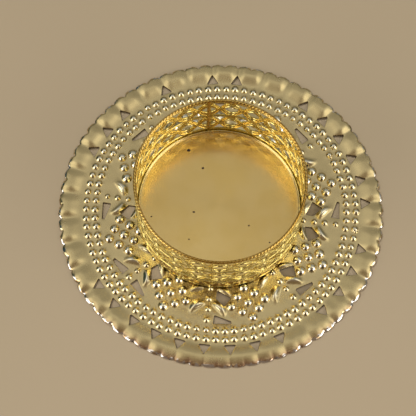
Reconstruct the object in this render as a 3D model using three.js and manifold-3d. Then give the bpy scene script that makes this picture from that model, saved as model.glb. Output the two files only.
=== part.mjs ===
// Metal tealight holder: a stamped and pierced plate that carries an openwork cup.
// Millimetres, +Z up. The origin is on the table, under the middle of the plate.

import * as THREE from 'three';
import { mergeVertices } from 'three/addons/utils/BufferGeometryUtils.js';
import Module from 'manifold-3d';

const wasm = await Module();
wasm.setup();

// Cup pan, the plain dish that a tealight stands in
const PAN_BORE = 40.3; // inside diameter, loose round a tealight of 38
const PAN_SHEET = 0.3;
const PAN_HEIGHT = 1.15; // up to the top of the rolled lip
const PAN_CORNER = 0.6; // outside bevel between floor and wall
const PAN_LIP = 0.25; // radius of the rolled lip
const PAN_RAISE = 2.7; // height of the pan's underside above the strip's lower edge

// Gallery, the pierced strip that is bent round the pan
const GALLERY_SHEET = 0.4;
const SOLDER_FILM = 0.1; // room between pan and strip
const FOOT_BAND = 4.0; // plain strip below the openwork
const TOP_BAND = 0.4; // plain strip above the openwork
const TIERS = 2;
const TIER_HEIGHT = 6.95; // one tier of crossing waves
const LENS_PITCH = 5.72; // from one lens opening to the next, round the outside
const WAVE_RISE = 2.8; // height of a wave above the middle of its tier
const STRAND = 1.0; // width of a wave
const RAIL = 0.7; // width of the straight strand between tiers
const SEAM_WIDTH = 0.4; // solder between the two ends of the strip
const SEAM_ANGLE = 98; // degrees, at the back of the cup
const RIM_FLARE = 0.6; // how far the strip leans out at its top edge

// Rope-edged wire round the rim
const RIM_WIRE = 0.9; // diameter

// Dabs of solder between pan and plate
const PADS = 4;
const PAD_RADIUS = 2.2;
const PAD_BULGE = 0.3;
const PAD_CIRCLE = 12; // radius of the circle that the dabs lie on
const SEAT_CLEARANCE = 0.05; // between the cup's foot and the grapes that carry it
const CUP_OFFSET = 0.5; // the cup is soldered on a little to the left of the plate's middle

// Plate sheet, from its flat middle out to the scalloped, turned-down edge that it stands on
const SHEET = 0.4;
const STAND = 0.1; // height of the flat's underside above the table
const FLAT_MARGIN = 0.1; // flat outside the outer ring of beads
const SLOPE_WIDTH = 4.2; // fluted border, from the flat out to its crest
const SLOPE_RISE = 0.35;
const ROLL_WIDTH = 1.25; // turned-down edge, from the crest out to the notches
const LOBE_DEPTH = 0.8; // from notch to lobe tip
const STATIONS = 36; // places for a triangular hole, two lobes to each
const STATION_PHASE = 3.8; // degrees
const FLUTE_RISE = 0.25; // how far the border's folds stand up or down at the crest

// Triangular holes in the border; at some stations the tool left the sheet whole
const TRIANGLE_MARGIN = 0.5; // from the edge of the flat to the base
const TRIANGLE_WIDTH = 3.1;
const TRIANGLE_HEIGHT = 2.65;
const BLIND_STATIONS = [6, 7, 10, 12, 16, 17, 18, 19, 20, 30, 35];

// Two rings of beads
const BEAD_RADIUS = 0.85;
const BEAD_RISE = 0.6;
const RING_STEP = 2.3; // between the two rings
const OUTER_PITCH = 2.4; // along the outer ring
const INNER_PITCH = 2.34; // along the inner ring

// Vine motif between the cup and the beads, measured out from the wall of a centred cup
const MOTIFS = 8;
const STEM_PHASE = 38.3; // degrees
const MOTIF_WIDTH = 10.25;
const GRAPE_RADIUS = 1.2;
const GRAPE_RISE = 0.9;
const GRAPE_START = 0.5; // from the wall of a centred cup to the middle of the first grape
const GRAPE_ROW = 2.0; // from row to row
const GRAPE_SIDE = 2.14; // half the distance between neighbours in a row
const GRAPE_ROWS = 3; // grapes along each side of the diamond
const DOTS = 4; // small dots along each stem
const DOT_RADIUS = 0.7;
const DOT_RISE = 0.5;
const DOT_START = 0.25;
const DOT_STEP = 2.72;
const LEAF_LENGTH = 4.8;
const LEAF_WIDTH = 2.1;
const LEAF_RISE = 0.6;
const LEAF_MIDDLE = { side: 2.8, out: 5.55 };
const LEAF_SLOPE = 43; // degrees between a leaf and the line across its stem

// Section of every embossed dome, as shares of its radius and of its rise
const DOME_SHOULDER = 0.72;
const DOME_HAUNCH = 0.62;

// Cut-outs beside a stem, as distances to its side and out from the wall of a centred cup
const SLIT = [[1.65, 9.25], [6.1, 8.8], [6.3, 8.5], [6.1, 8.2], [1.75, 7.1]];
const KITE = [[1.6, 2.65], [3.9, 4.65], [5.4, 2.0], [1.7, 0.65]];
const CLOCKWISE_SLITS = [4]; // stems that have a slit on their clockwise side too
const CLOCKWISE_KITES = [0, 7]; // stems that have a kite on their clockwise side too

// Facets
const ROUND_STEPS = 42;
const EDGE_STEPS = 3; // along one lobe
const RIM_SIDES = 6;
const BEAD_SIDES = 5;
const GRAPE_SIDES = 6;
const PAD_SIDES = 8;
const LIP_SIDES = 4; // from the lip's outside over its top to its inside
const CUT_MARGIN = 2; // how far a cutter runs past the sheet
const WELD = 1e-4; // corners closer than this are one

// Worked-out radii and heights
const TURN = 2 * Math.PI;
const panInner = PAN_BORE / 2;
const panOuter = panInner + PAN_SHEET;
const galleryInner = panOuter + SOLDER_FILM;
const galleryOuter = galleryInner + GALLERY_SHEET;
const galleryHeight = FOOT_BAND + TIERS * TIER_HEIGHT + TOP_BAND;
const innerRing = galleryOuter + MOTIF_WIDTH + BEAD_RADIUS;
const outerRing = innerRing + RING_STEP;
const flatRadius = outerRing + BEAD_RADIUS + FLAT_MARGIN;
const crestRadius = flatRadius + SLOPE_WIDTH;
const notchRadius = crestRadius + ROLL_WIDTH;
const plateTop = STAND + SHEET;
const seatReach = Math.max(0, GRAPE_START - CUP_OFFSET);
const footHeight = domeHeight(seatReach / GRAPE_RADIUS) * GRAPE_RISE + SEAT_CLEARANCE;
const cupBase = plateTop + footHeight;
const padHeight = footHeight + PAN_RAISE;

const PLATE_GOLD = { color: 0xb4a56e, roughness: 0.28, metalness: 1 };
const CUP_GOLD = { color: 0xc8963c, roughness: 0.25, metalness: 1 };
const SOLDER_GREY = { color: 0x9c988c, roughness: 0.5, metalness: 1 };

function radians(degrees) {
  return THREE.MathUtils.degToRad(degrees);
}

// Height of a unit dome at a share of its radius, by its two facets.
function domeHeight(share) {
  if (share >= 1) {
    return 0;
  }
  if (share > DOME_SHOULDER) {
    return (DOME_HAUNCH * (1 - share)) / (1 - DOME_SHOULDER);
  }
  return 1 - ((1 - DOME_HAUNCH) * share) / DOME_SHOULDER;
}

// Keeps only positions, joins equal corners and drops faces that shrink to a line.
function weld(geometry) {
  const bare = geometry.clone();
  bare.deleteAttribute('normal');
  bare.deleteAttribute('uv');
  const welded = mergeVertices(bare, WELD);
  const index = welded.index.array;
  const kept = [];
  for (let i = 0; i < index.length; i += 3) {
    const [a, b, c] = [index[i], index[i + 1], index[i + 2]];
    if (a !== b && b !== c && c !== a) {
      kept.push(a, b, c);
    }
  }
  welded.setIndex(kept);
  return welded;
}

function toSolid(geometry) {
  const welded = weld(geometry);
  return new wasm.Manifold(new wasm.Mesh({
    numProp: 3,
    vertProperties: new Float32Array(welded.attributes.position.array),
    triVerts: new Uint32Array(welded.index.array),
  }));
}

function toGeometry(solid) {
  const mesh = solid.getMesh();
  const geometry = new THREE.BufferGeometry();
  geometry.setAttribute('position', new THREE.BufferAttribute(mesh.vertProperties, 3));
  geometry.setIndex(new THREE.BufferAttribute(mesh.triVerts, 1));
  return geometry;
}

function joined(solids) {
  return wasm.Manifold.union(solids);
}

// A revolved profile of [radius, height] points, standing along +Z.
function revolve(profile, steps) {
  const points = profile.map(([radius, height]) => new THREE.Vector2(radius, height));
  return new THREE.LatheGeometry(points, steps).rotateX(Math.PI / 2);
}

// An upright prism over an outline of [x, y] points.
function prism(outline, bottom, top) {
  const shape = new THREE.Shape(outline.map(([x, y]) => new THREE.Vector2(x, y)));
  const geometry = new THREE.ExtrudeGeometry(shape, { depth: top - bottom, bevelEnabled: false });
  return geometry.translate(0, 0, bottom);
}

// A point given by its distance out along a direction and its distance to the left of it.
function place(angle, out, side) {
  const x = out * Math.cos(angle) - side * Math.sin(angle);
  const y = out * Math.sin(angle) + side * Math.cos(angle);
  return [x, y];
}

// An embossed dome that stands on the flat of the plate, rooted in the sheet.
function dome(length, width, rise, sides, turn, [x, y]) {
  const root = -SHEET / 2;
  const profile = [[0, root], [1, root], [1, 0], [DOME_SHOULDER, DOME_HAUNCH * rise], [0, rise]];
  const geometry = revolve(profile, sides).scale(length / 2, width / 2, 1);
  return toSolid(geometry.rotateZ(turn).translate(x, y, plateTop));
}

// Plate sheet: a polar net of rings, flat in the middle, fluted outside and turned down at the edge.
function plateSheet() {
  const columns = 2 * STATIONS;
  const points = [];
  const faces = [];

  function addRing(count, radiusAt, heightAt) {
    const first = points.length / 3;
    for (let i = 0; i < count; i += 1) {
      const angle = (i / count) * TURN;
      const [x, y] = place(angle + radians(STATION_PHASE), radiusAt(angle), 0);
      points.push(x, y, heightAt(angle));
    }
    return { count, at: (i) => first + (i % count) };
  }

  function addSkin(lift) {
    const fold = (angle) => -FLUTE_RISE * Math.cos(STATIONS * angle);
    const scallop = (angle) => notchRadius + LOBE_DEPTH * Math.sqrt(Math.abs(Math.sin(STATIONS * angle)));
    return [
      addRing(1, () => 0, () => STAND + lift),
      addRing(columns, () => flatRadius, () => STAND + lift),
      addRing(columns, () => crestRadius, (angle) => STAND + SLOPE_RISE + fold(angle) + lift),
      addRing(columns * EDGE_STEPS, scallop, () => lift),
    ];
  }

  function addFace(a, b, c, up) {
    faces.push(...(up ? [a, b, c] : [a, c, b]));
  }

  function addBand(inner, outer, up) {
    const ratio = outer.count / inner.count;
    const half = Math.ceil(ratio / 2);
    for (let i = 0; i < inner.count; i += 1) {
      for (let j = 0; j < ratio; j += 1) {
        const near = inner.at(j < half ? i : i + 1);
        addFace(near, outer.at(i * ratio + j), outer.at(i * ratio + j + 1), up);
      }
      if (inner.count > 1) {
        addFace(inner.at(i), outer.at(i * ratio + half), inner.at(i + 1), up);
      }
    }
  }

  const lower = addSkin(0);
  const upper = addSkin(SHEET);
  for (let ring = 1; ring < lower.length; ring += 1) {
    addBand(lower[ring - 1], lower[ring], false);
    addBand(upper[ring - 1], upper[ring], true);
  }
  addBand(upper.at(-1), lower.at(-1), true);

  const geometry = new THREE.BufferGeometry();
  geometry.setAttribute('position', new THREE.Float32BufferAttribute(points, 3));
  geometry.setIndex(faces);
  return toSolid(geometry);
}

function beadRing(radius, pitch) {
  const count = Math.round((TURN * radius) / pitch);
  const beads = [];
  for (let i = 0; i < count; i += 1) {
    const angle = (i / count) * TURN;
    const middle = place(angle, radius, 0);
    beads.push(dome(2 * BEAD_RADIUS, 2 * BEAD_RADIUS, BEAD_RISE, BEAD_SIDES, angle, middle));
  }
  return beads;
}

// A bunch of grapes: a square of beads set on its corner.
function grapeBunch(angle) {
  const grapes = [];
  for (let i = 0; i < GRAPE_ROWS; i += 1) {
    for (let j = 0; j < GRAPE_ROWS; j += 1) {
      const out = galleryOuter + GRAPE_START + (i + j) * GRAPE_ROW;
      const middle = place(angle, out, (i - j) * GRAPE_SIDE);
      grapes.push(dome(2 * GRAPE_RADIUS, 2 * GRAPE_RADIUS, GRAPE_RISE, GRAPE_SIDES, angle, middle));
    }
  }
  return grapes;
}

// A stem of small dots with a leaf on each side.
function vineStem(angle) {
  const pieces = [];
  for (let i = 0; i < DOTS; i += 1) {
    const middle = place(angle, galleryOuter + DOT_START + i * DOT_STEP, 0);
    pieces.push(dome(2 * DOT_RADIUS, 2 * DOT_RADIUS, DOT_RISE, BEAD_SIDES, angle, middle));
  }
  for (const hand of [-1, 1]) {
    const middle = place(angle, galleryOuter + LEAF_MIDDLE.out, hand * LEAF_MIDDLE.side);
    const turn = angle + hand * radians(90 - LEAF_SLOPE);
    pieces.push(dome(LEAF_LENGTH, LEAF_WIDTH, LEAF_RISE, GRAPE_SIDES, turn, middle));
  }
  return pieces;
}

function cutter(outline) {
  const top = plateTop + SLOPE_RISE + FLUTE_RISE + CUT_MARGIN;
  return toSolid(prism(outline, -CUT_MARGIN, top));
}

// A cut-out beside a stem: hand 1 is the side that angles grow towards, -1 the clockwise side.
function stemCut(outline, angle, hand) {
  const corners = outline.map(([side, out]) => place(angle, galleryOuter + out, hand * side));
  return cutter(corners);
}

function triangleCut(angle) {
  const base = flatRadius + TRIANGLE_MARGIN;
  return cutter([
    place(angle, base, TRIANGLE_WIDTH / 2),
    place(angle, base, -TRIANGLE_WIDTH / 2),
    place(angle, base + TRIANGLE_HEIGHT, 0),
  ]);
}

function plateCuts() {
  const cuts = [];
  for (let station = 0; station < STATIONS; station += 1) {
    if (!BLIND_STATIONS.includes(station)) {
      cuts.push(triangleCut(radians(STATION_PHASE) + (station / STATIONS) * TURN));
    }
  }
  for (let motif = 0; motif < MOTIFS; motif += 1) {
    const angle = radians(STEM_PHASE) + (motif / MOTIFS) * TURN;
    cuts.push(stemCut(SLIT, angle, 1), stemCut(KITE, angle, 1));
    if (CLOCKWISE_SLITS.includes(motif)) {
      cuts.push(stemCut(SLIT, angle, -1));
    }
    if (CLOCKWISE_KITES.includes(motif)) {
      cuts.push(stemCut(KITE, angle, -1));
    }
  }
  return cuts;
}

function basePlate() {
  const relief = [...beadRing(outerRing, OUTER_PITCH), ...beadRing(innerRing, INNER_PITCH)];
  for (let motif = 0; motif < MOTIFS; motif += 1) {
    const angle = radians(STEM_PHASE) + (motif / MOTIFS) * TURN;
    relief.push(...vineStem(angle), ...grapeBunch(angle + TURN / MOTIFS / 2));
  }
  return toGeometry(joined([plateSheet(), ...relief]).subtract(joined(plateCuts())));
}

// Pan: floor, bevelled corner and low wall, with the top edge rolled inwards.
function cupPan() {
  const lipMiddle = PAN_HEIGHT - PAN_LIP;
  const innerCorner = PAN_CORNER - PAN_SHEET;
  const lip = [];
  for (let i = 0; i <= LIP_SIDES; i += 1) {
    const angle = (i / LIP_SIDES) * Math.PI;
    lip.push([panOuter - PAN_LIP + PAN_LIP * Math.cos(angle), lipMiddle + PAN_LIP * Math.sin(angle)]);
  }
  const profile = [
    [0, 0],
    [panOuter - PAN_CORNER, 0],
    [panOuter, PAN_CORNER],
    ...lip,
    [panInner, lipMiddle - PAN_LIP],
    [panInner, PAN_SHEET + innerCorner],
    [panInner - innerCorner, PAN_SHEET],
    [0, PAN_SHEET],
  ];
  return weld(revolve(profile, ROUND_STEPS));
}

// Sizes of the openings in one tier, from the wave that the strands follow.
function tierSizes(pitch) {
  const slope = (WAVE_RISE * Math.PI) / pitch;
  const crossing = (STRAND / 2) * Math.hypot(1, slope);
  const rail = TIER_HEIGHT / 2 - RAIL / 2;
  const lensEnd = (Math.acos(crossing / WAVE_RISE) * pitch) / Math.PI;
  const lensRise = WAVE_RISE - STRAND / 2;
  const tentShare = Math.min(1, (rail - crossing) / WAVE_RISE);
  const tentEnd = Math.min((Math.asin(tentShare) * pitch) / Math.PI, pitch / 2 - STRAND / 2);
  return { crossing, rail, lensEnd, lensRise, tentEnd };
}

// Outline of half a period of the flat strip, from a lens's middle line to the next crossing.
function halfPeriod(pitch, start) {
  const { crossing, rail, lensEnd, lensRise, tentEnd } = tierSizes(pitch);
  const end = pitch / 2;
  const middles = [];
  for (let tier = 0; tier < TIERS; tier += 1) {
    middles.push(FOOT_BAND + (tier + 0.5) * TIER_HEIGHT);
  }
  const outline = [[start, 0], [end, 0]];
  for (const middle of middles) {
    outline.push([end, middle - rail], [end - tentEnd, middle - rail], [end, middle - crossing]);
    outline.push([end, middle + crossing], [end - tentEnd, middle + rail], [end, middle + rail]);
  }
  outline.push([end, galleryHeight], [start, galleryHeight]);
  const shoulder = lensRise * Math.SQRT1_2;
  for (const middle of middles.reverse()) {
    outline.push([start, middle + lensRise], [lensEnd / 2, middle + shoulder], [lensEnd, middle]);
    outline.push([lensEnd / 2, middle - shoulder], [start, middle - lensRise]);
  }
  return outline;
}

// Bends flat pieces of strip round the cup. Edges that lie on a joint line get no wall.
function bendStrip(pieces, lenses, jointLines) {
  const pitch = (TURN * galleryOuter) / lenses;
  const points = [];
  const faces = [];

  function addPiece({ outline, lens, hand }) {
    const first = points.length / 3;
    const count = outline.length;
    for (const radius of [galleryOuter, galleryInner]) {
      for (const [along, height] of outline) {
        const share = ((lens + (hand * along) / pitch + lenses) % lenses) / lenses;
        const lean = (RIM_FLARE * height) / galleryHeight;
        points.push(...place(share * TURN, radius + lean, 0), height);
      }
    }
    const addFace = (...corners) => {
      const turned = hand > 0 ? corners : corners.reverse();
      faces.push(...turned.map((corner) => first + corner));
    };
    const flat = outline.map(([along, height]) => new THREE.Vector2(along, height));
    for (const [a, b, c] of THREE.ShapeUtils.triangulateShape(flat, [])) {
      addFace(a, b, c);
      addFace(c + count, b + count, a + count);
    }
    for (let i = 0; i < count; i += 1) {
      const next = (i + 1) % count;
      const [from, to] = [outline[i][0], outline[next][0]];
      if (from !== to || !jointLines.includes(from)) {
        addFace(i, i + count, next + count);
        addFace(i, next + count, next);
      }
    }
  }

  pieces.forEach(addPiece);
  const geometry = new THREE.BufferGeometry();
  geometry.setAttribute('position', new THREE.Float32BufferAttribute(points, 3));
  geometry.setIndex(faces);
  return weld(geometry);
}

function lensCount() {
  return Math.round((TURN * galleryOuter) / LENS_PITCH);
}

// Gallery: an open ring whose two ends meet at the seam on +X, in the middle of a lens.
function galleryWall() {
  const lenses = lensCount();
  const pitch = (TURN * galleryOuter) / lenses;
  const plain = halfPeriod(pitch, 0);
  const atSeam = halfPeriod(pitch, SEAM_WIDTH / 2);
  const pieces = [];
  for (let lens = 0; lens < lenses; lens += 1) {
    const outline = lens === 0 ? atSeam : plain;
    pieces.push({ outline, lens, hand: 1 }, { outline, lens, hand: -1 });
  }
  return bendStrip(pieces, lenses, [0, pitch / 2]);
}

// Solder bar that fills the gap between the two ends of the strip.
function gallerySeam() {
  const half = SEAM_WIDTH / 2;
  const outline = [[-half, 0], [half, 0], [half, galleryHeight], [-half, galleryHeight]];
  return bendStrip([{ outline, lens: 0, hand: 1 }], lensCount(), []);
}

// Rim wire: a ring that sits with a flat on the strip's top edge.
function rimRope() {
  const middle = (galleryInner + galleryOuter) / 2 + RIM_FLARE;
  const corner = RIM_WIRE / 2 / Math.cos(Math.PI / RIM_SIDES);
  const section = [];
  for (let i = 0; i <= RIM_SIDES; i += 1) {
    const angle = ((i % RIM_SIDES) + 0.5) * (TURN / RIM_SIDES) - TURN / 4;
    section.push([middle + corner * Math.cos(angle), RIM_WIRE / 2 + corner * Math.sin(angle)]);
  }
  return weld(revolve(section, ROUND_STEPS));
}

function solderPad() {
  const bulge = PAD_RADIUS + PAD_BULGE;
  const profile = [[0, 0], [PAD_RADIUS, 0], [bulge, padHeight / 2], [PAD_RADIUS, padHeight], [0, padHeight]];
  return weld(revolve(profile, PAD_SIDES));
}

function piece(name, geometry, look, height) {
  geometry.computeVertexNormals();
  const mesh = new THREE.Mesh(geometry, new THREE.MeshStandardMaterial(look));
  mesh.name = name;
  mesh.position.z = height;
  return mesh;
}

const holder = new THREE.Group();
holder.add(piece('base_plate', basePlate(), PLATE_GOLD, 0));

for (let i = 0; i < PADS; i += 1) {
  const pad = piece(`solder_pad_${i + 1}`, solderPad(), SOLDER_GREY, plateTop);
  [pad.position.x, pad.position.y] = place(((i + 0.5) / PADS) * TURN, PAD_CIRCLE, 0);
  holder.add(pad);
}

const cup = new THREE.Group();
cup.position.set(-CUP_OFFSET, 0, cupBase);
cup.rotation.z = radians(SEAM_ANGLE);
cup.add(piece('cup_pan', cupPan(), CUP_GOLD, PAN_RAISE));
cup.add(piece('gallery_wall', galleryWall(), CUP_GOLD, 0));
cup.add(piece('gallery_seam', gallerySeam(), SOLDER_GREY, 0));
cup.add(piece('rim_rope', rimRope(), CUP_GOLD, galleryHeight));
holder.add(cup);

export default holder;
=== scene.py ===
"""Looks of a metal tealight holder: a stamped and pierced plate under an openwork cup.

Sizes are in millimetres in the plate's own frame, +Z up. Meshes are made in metres.
"""

import math
import random

import bpy
import numpy as np
from mathutils import Matrix, Vector, kdtree, noise
from mathutils.geometry import delaunay_2d_cdt


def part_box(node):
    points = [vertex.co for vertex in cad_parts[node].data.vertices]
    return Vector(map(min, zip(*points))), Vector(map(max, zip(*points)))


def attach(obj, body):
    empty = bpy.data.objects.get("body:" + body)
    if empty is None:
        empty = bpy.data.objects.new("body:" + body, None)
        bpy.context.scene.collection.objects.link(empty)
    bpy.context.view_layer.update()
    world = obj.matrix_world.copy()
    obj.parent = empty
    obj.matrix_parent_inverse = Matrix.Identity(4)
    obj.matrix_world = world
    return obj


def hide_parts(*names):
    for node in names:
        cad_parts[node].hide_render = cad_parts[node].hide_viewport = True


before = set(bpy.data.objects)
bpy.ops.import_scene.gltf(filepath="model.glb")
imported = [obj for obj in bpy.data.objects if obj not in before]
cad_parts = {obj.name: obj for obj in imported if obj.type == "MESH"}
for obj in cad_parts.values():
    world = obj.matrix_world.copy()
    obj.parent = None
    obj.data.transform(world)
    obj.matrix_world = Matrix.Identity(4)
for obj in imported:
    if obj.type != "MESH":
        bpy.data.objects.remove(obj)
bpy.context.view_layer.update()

MM = 0.001
TURN = 2 * math.pi
SEED = 7

# Camera, in pixels of a square picture and in millimetres
PICTURE = 416
FOCAL = 1600
ELEVATION = math.radians(68.59)
CAMERA_TURN = math.radians(-1.137)
CAMERA_ROLL = 0.03
CAMERA_DISTANCE = 409.3
CAMERA_TARGET = np.array([-3.315, 0.849, 0.0])
SENSOR = 36.0

# Plate sheet, from its flat middle out to the scalloped, turned-down edge that it stands on
SHEET = 0.4
STAND = 0.1
PLATE_TOP = STAND + SHEET
FLAT_RADIUS = 35.3
SLOPE_WIDTH = 4.0
SLOPE_RISE = 0.55
ROLL_RADIUS = 39.9
SOFT_ROLL = 0.4
NOTCH_RADIUS = 40.75
LOBE_DEPTH = 0.75
LOBE_BULGE = 0.05
SHALLOW_FRONT = 0.5
STATIONS = 36
STATION_PHASE = math.radians(3.8)
FLUTE_RISE = 0.42
FLUTE_ONSET = 4.2
FOLD_CREST = 0.25
FOLD_DEPTH = 1.2
LEAN_RADIUS = 36.8
FRONT_LEAN = 0.5
FRONT_CALM = 0.8

# Unevenness of the plate, its rubbed and tarnished places, and the painted shade and painted reflection
# near its edges
SWELL = 0.16
PLATE_SWELLS = [(0.7, 7.0, 0.0), (0.3, 2.6, 5.0)]
SWELL_START = 22.5
SWELL_ONSET = 4.0
SWELL_END = 2.0
EDGE_CRIMP = 0.3
CRIMP_SIZE = 0.9
# Pink-brown band near the edge: tarnished, and towards the front a painted reflection
TARNISH_AND_REFLECTION_WIDTH = 2.6
TARNISH_AND_REFLECTION_SIZE = 2.2
SIDE_TARNISH = 0.25
RUB_SIZE = 0.9
DARKEST_EDGE = 0.8

# Points of the plate's mesh: rings as shares of a radius, steps and smallest gaps
PLATE_CELL = 0.8
EDGE_COLUMNS = 16 * STATIONS
BORDER_RINGS = 9
ROLL_RINGS = (0.13, 0.26, 0.38, 0.49, 0.59, 0.68, 0.76, 0.83, 0.89, 0.94, 0.975)
BORDER_GAP = 0.09
CUT_RINGS = [(0.1, 0.07), (0.25, 0.1)]
DOME_RINGS = (0.35, 0.58, 0.76, 0.9, 1.0, 1.1, 1.22)
DOME_SIDES = 12
GREAT_DOME = 1.0
GREAT_DOME_SIDES = 18
DOME_MIDDLE_GAP = 0.08
FINE_GAP = 0.07
LEAF_STEP = 0.36
LEAF_LINES = (0, 0.25, -0.25, 0.5, -0.5, 0.75, -0.75, 1, -1, 1.15, -1.15)
HIDDEN_RADIUS = 18.5
GRIDS = [(1.8, 0, HIDDEN_RADIUS), (0.74, HIDDEN_RADIUS, FLAT_RADIUS - 0.1)]
GRID_GAP = 0.65

# Beads in rings of (radius, count), then grapes and stems out from the wall of a centred cup
WALL_RADIUS = 20.95
BEAD_RINGS = [(32.05, 86), (34.35, 90)]
BEAD_RADIUS = 0.85
BEAD_RISE = 0.6
MOTIFS = 8
STEM_PHASE = math.radians(38.3)
STEM_ANGLES = [STEM_PHASE + motif / MOTIFS * TURN for motif in range(MOTIFS)]
GRAPE_RADIUS = 1.2
GRAPE_RISE = 0.9
GRAPE_START = 0.5
GRAPE_ROW = 2.0
GRAPE_SIDE = 2.14
GRAPE_ROWS = 3
DOTS = 4
DOT_RADIUS = 0.7
DOT_RISE = 0.5
DOT_START = 0.25
DOT_STEP = 2.72
PLACE_JITTER = 0.05
SIZE_JITTER = 0.05
DOME_ROUND = 0.86
DOME_FILLET = 0.1
STRIKE_FROM = math.radians(-10)
STRIKE_TO = math.radians(45)
STRIKE_SHARE = 0.45
STRIKE_SHIFT = 0.55
STRIKE_WIDTH = 0.6
STRIKE_RISE = 0.7

# Leaves and petals beside a stem: base and tip as (side, out), then width, rise and sideways bow
LEAF = ((1.0, 3.9), (4.4, 7.0), 2.9, 0.62, 0.6)
PETAL = ((1.7, 0.0), (5.1, 1.4), 1.9, 0.45, 0.2)
STEEP_SHARE = 0.8
LEAF_SKEW = 0.85
LEAF_BLUNT = 0.6
LEAF_FADE = 1.6

# Cut-outs beside a stem, as (side, out), and in the border
SLIT = [(1.65, 9.25), (6.1, 8.85), (6.2, 8.2), (1.75, 7.1)]
KITE = [(1.6, 2.65), (3.9, 4.65), (5.4, 2.0), (1.7, 0.65)]
CLOCKWISE_SLITS = [4]
CLOCKWISE_KITES = [0, 7]
TRIANGLE_MARGIN = 0.5
TRIANGLE_WIDTH = 3.1
TRIANGLE_HEIGHT = 2.65
BLIND_STATIONS = [6, 7, 10, 12, 16, 17, 18, 19, 20, 30, 35]
CUT_ROUNDING = 0.22
CUT_STEP = 0.22
CUT_DROP = 0.05
# Spread of the dark band at cut edges: part bare cut metal, part painted shade
CUT_SHADE_SOFTNESS = 0.15

# Cup: sizes across are named here, heights come from the frame
CUP_OFFSET = -0.5
OVAL_FOOT = -0.1
OVAL_RIM = 0.17
LEAN_BACK = 0.3
RIM_FLARE = 0.45
PAN_OUTER = 20.45
PAN_SHEET = 0.3
PAN_CORNER = 0.6
PAN_LIP = 0.25
PAN_STEPS = 192
PAN_SWELLS = [(0.05, 13.0, 2.0), (0.02, 5.0, 8.0)]
WALL_MIDDLE = 20.75
WALL_HALF = 0.26
FOOT_BAND = 4.0
TIERS = 2
TIER_HEIGHT = 6.95
TIER_MIDDLES = [FOOT_BAND + (tier + 0.5) * TIER_HEIGHT for tier in range(TIERS)]
RAIL_HEIGHTS = [FOOT_BAND + tier * TIER_HEIGHT for tier in range(TIERS + 1)]
LENSES = 23
WAVE_RISE = 2.8
STRAND = 0.92
STRAND_REACH = STRAND / 2 + 0.02
RAIL = 0.7
LOOP = 0.5
CRESCENT = 0.55
CRESCENT_REACH = 0.72
CROSSING_LIFT = 0.06
LEAST_EYE = 0.02
SEARCH_STEPS = 400
SLOPE_STEP = 0.01
SEAM_EYE = 0.28
TENT_CORNER = 0.15
LEAST_LIFT = 0.07
BAR_SPREAD = 0.54
RIB_SPREAD = 1.08
JOINT_REACH = 0.55
WANDER = 0.2
SHADE_AND_SHEEN_POWER = 1.3
FOOT_DROP = 0.4
FOOT_FADE = 1.5
FOOT_GAP = 0.6
FOOT_BEAD = 0.35
FOOT_GROUND = 0.15
FOOT_INNER = WALL_MIDDLE - PAN_OUTER - 0.01
SEAM_WIDTH = 0.4
SEAM_ANGLE = math.radians(98)
ROPE_TURNS = 72
ROPE_STRAND = 0.35
ROPE_SPREAD = 0.075
ROPE_SECTIONS = 1520
ROPE_SIDES = 14

# Points of the gallery's mesh: lines beside a strand or a loop, shares of a rail, margins, gaps
GALLERY_CELL = 0.5
GALLERY_GAP = 0.1
GALLERY_COLUMNS = 470
GALLERY_ROWS = 74
RAIL_COLUMNS = 640
END_MARGIN = 0.12
LOOP_END_MARGIN = 0.4
STRAND_LINES = (0, 0.12, -0.12, 0.25, -0.25, 0.38, -0.38)
LOOP_LINES = (0, 0.14, -0.14)
RAIL_LINES = (0, 0.25, -0.25, 0.45, -0.45)
FOOT_STEP = 0.16

# Solder: the bar in the seam and the dabs under the pan
SEAM_ROWS = 90
SEAM_SIDES = 14
SEAM_END = 0.05
SEAM_EXTRA = 0.03
SEAM_SWELL = 0.5
SEAM_LUMP = 0.06
SEAM_NOISE = [(0, 3.1, 1.3), (4, 0, 0.9)]
DAB_BULGE = 0.3
DAB_FLAT = 0.6
DAB_SWELL = 0.1
DAB_LUMP = 1.6
DAB_STEPS = 40

# Specks of soot on the pan's floor, each by its pixel in the photograph and its size
SPECKS = [
    (188.9, 150.5, 0.46), (202.9, 168.1, 0.34), (145.8, 169.9, 0.24), (140.2, 181.8, 0.22),
    (193.8, 212.0, 0.3), (151.4, 216.6, 0.22), (248.9, 225.6, 0.24), (269.7, 242.4, 0.22),
    (188.9, 239.3, 0.2),
]
SPECK_FORM = np.array([1, 0.75, 0.3])
SPECK_LIFT = 0.12
SPECK_ROUGH = 0.45

# Finishes: two tones, a darker tone in the low relief that is painted shade, a lighter tone on the high
# relief that is part rubbed metal and part painted highlight, then roughness, bumps, folds and spin marks
FINISHES = {
    "plate_gilt": dict(
        colour=(0.81, 0.655, 0.34), shade=(0.755, 0.59, 0.285), hollow_shade=(0.78, 0.62, 0.31),
        worn_and_sheen=(0.93, 0.86, 0.64), satin=(0.18, 0.28), polish=0.06, bump=0.02),
    "pan_gilt": dict(
        colour=(0.97, 0.69, 0.265), shade=(0.94, 0.655, 0.225), hollow_shade=(0.94, 0.655, 0.225),
        worn_and_sheen=(0.97, 0.78, 0.35), satin=(0.2, 0.26), polish=0.12, bump=0.02, spun=0.5),
    "gallery_gilt": dict(
        colour=(0.9, 0.71, 0.21), shade=(0.8, 0.59, 0.15), hollow_shade=(0.34, 0.16, 0.02),
        worn_and_sheen=(1.0, 0.9, 0.42), satin=(0.11, 0.2), polish=0.07, bump=0.06, crinkle=0.4),
    "rope_gilt": dict(
        colour=(0.7, 0.43, 0.09), shade=(0.56, 0.31, 0.05), hollow_shade=(0.24, 0.1, 0.015),
        worn_and_sheen=(0.84, 0.58, 0.17), satin=(0.22, 0.32), polish=0.18, bump=0.06, crinkle=0.2),
}
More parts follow.
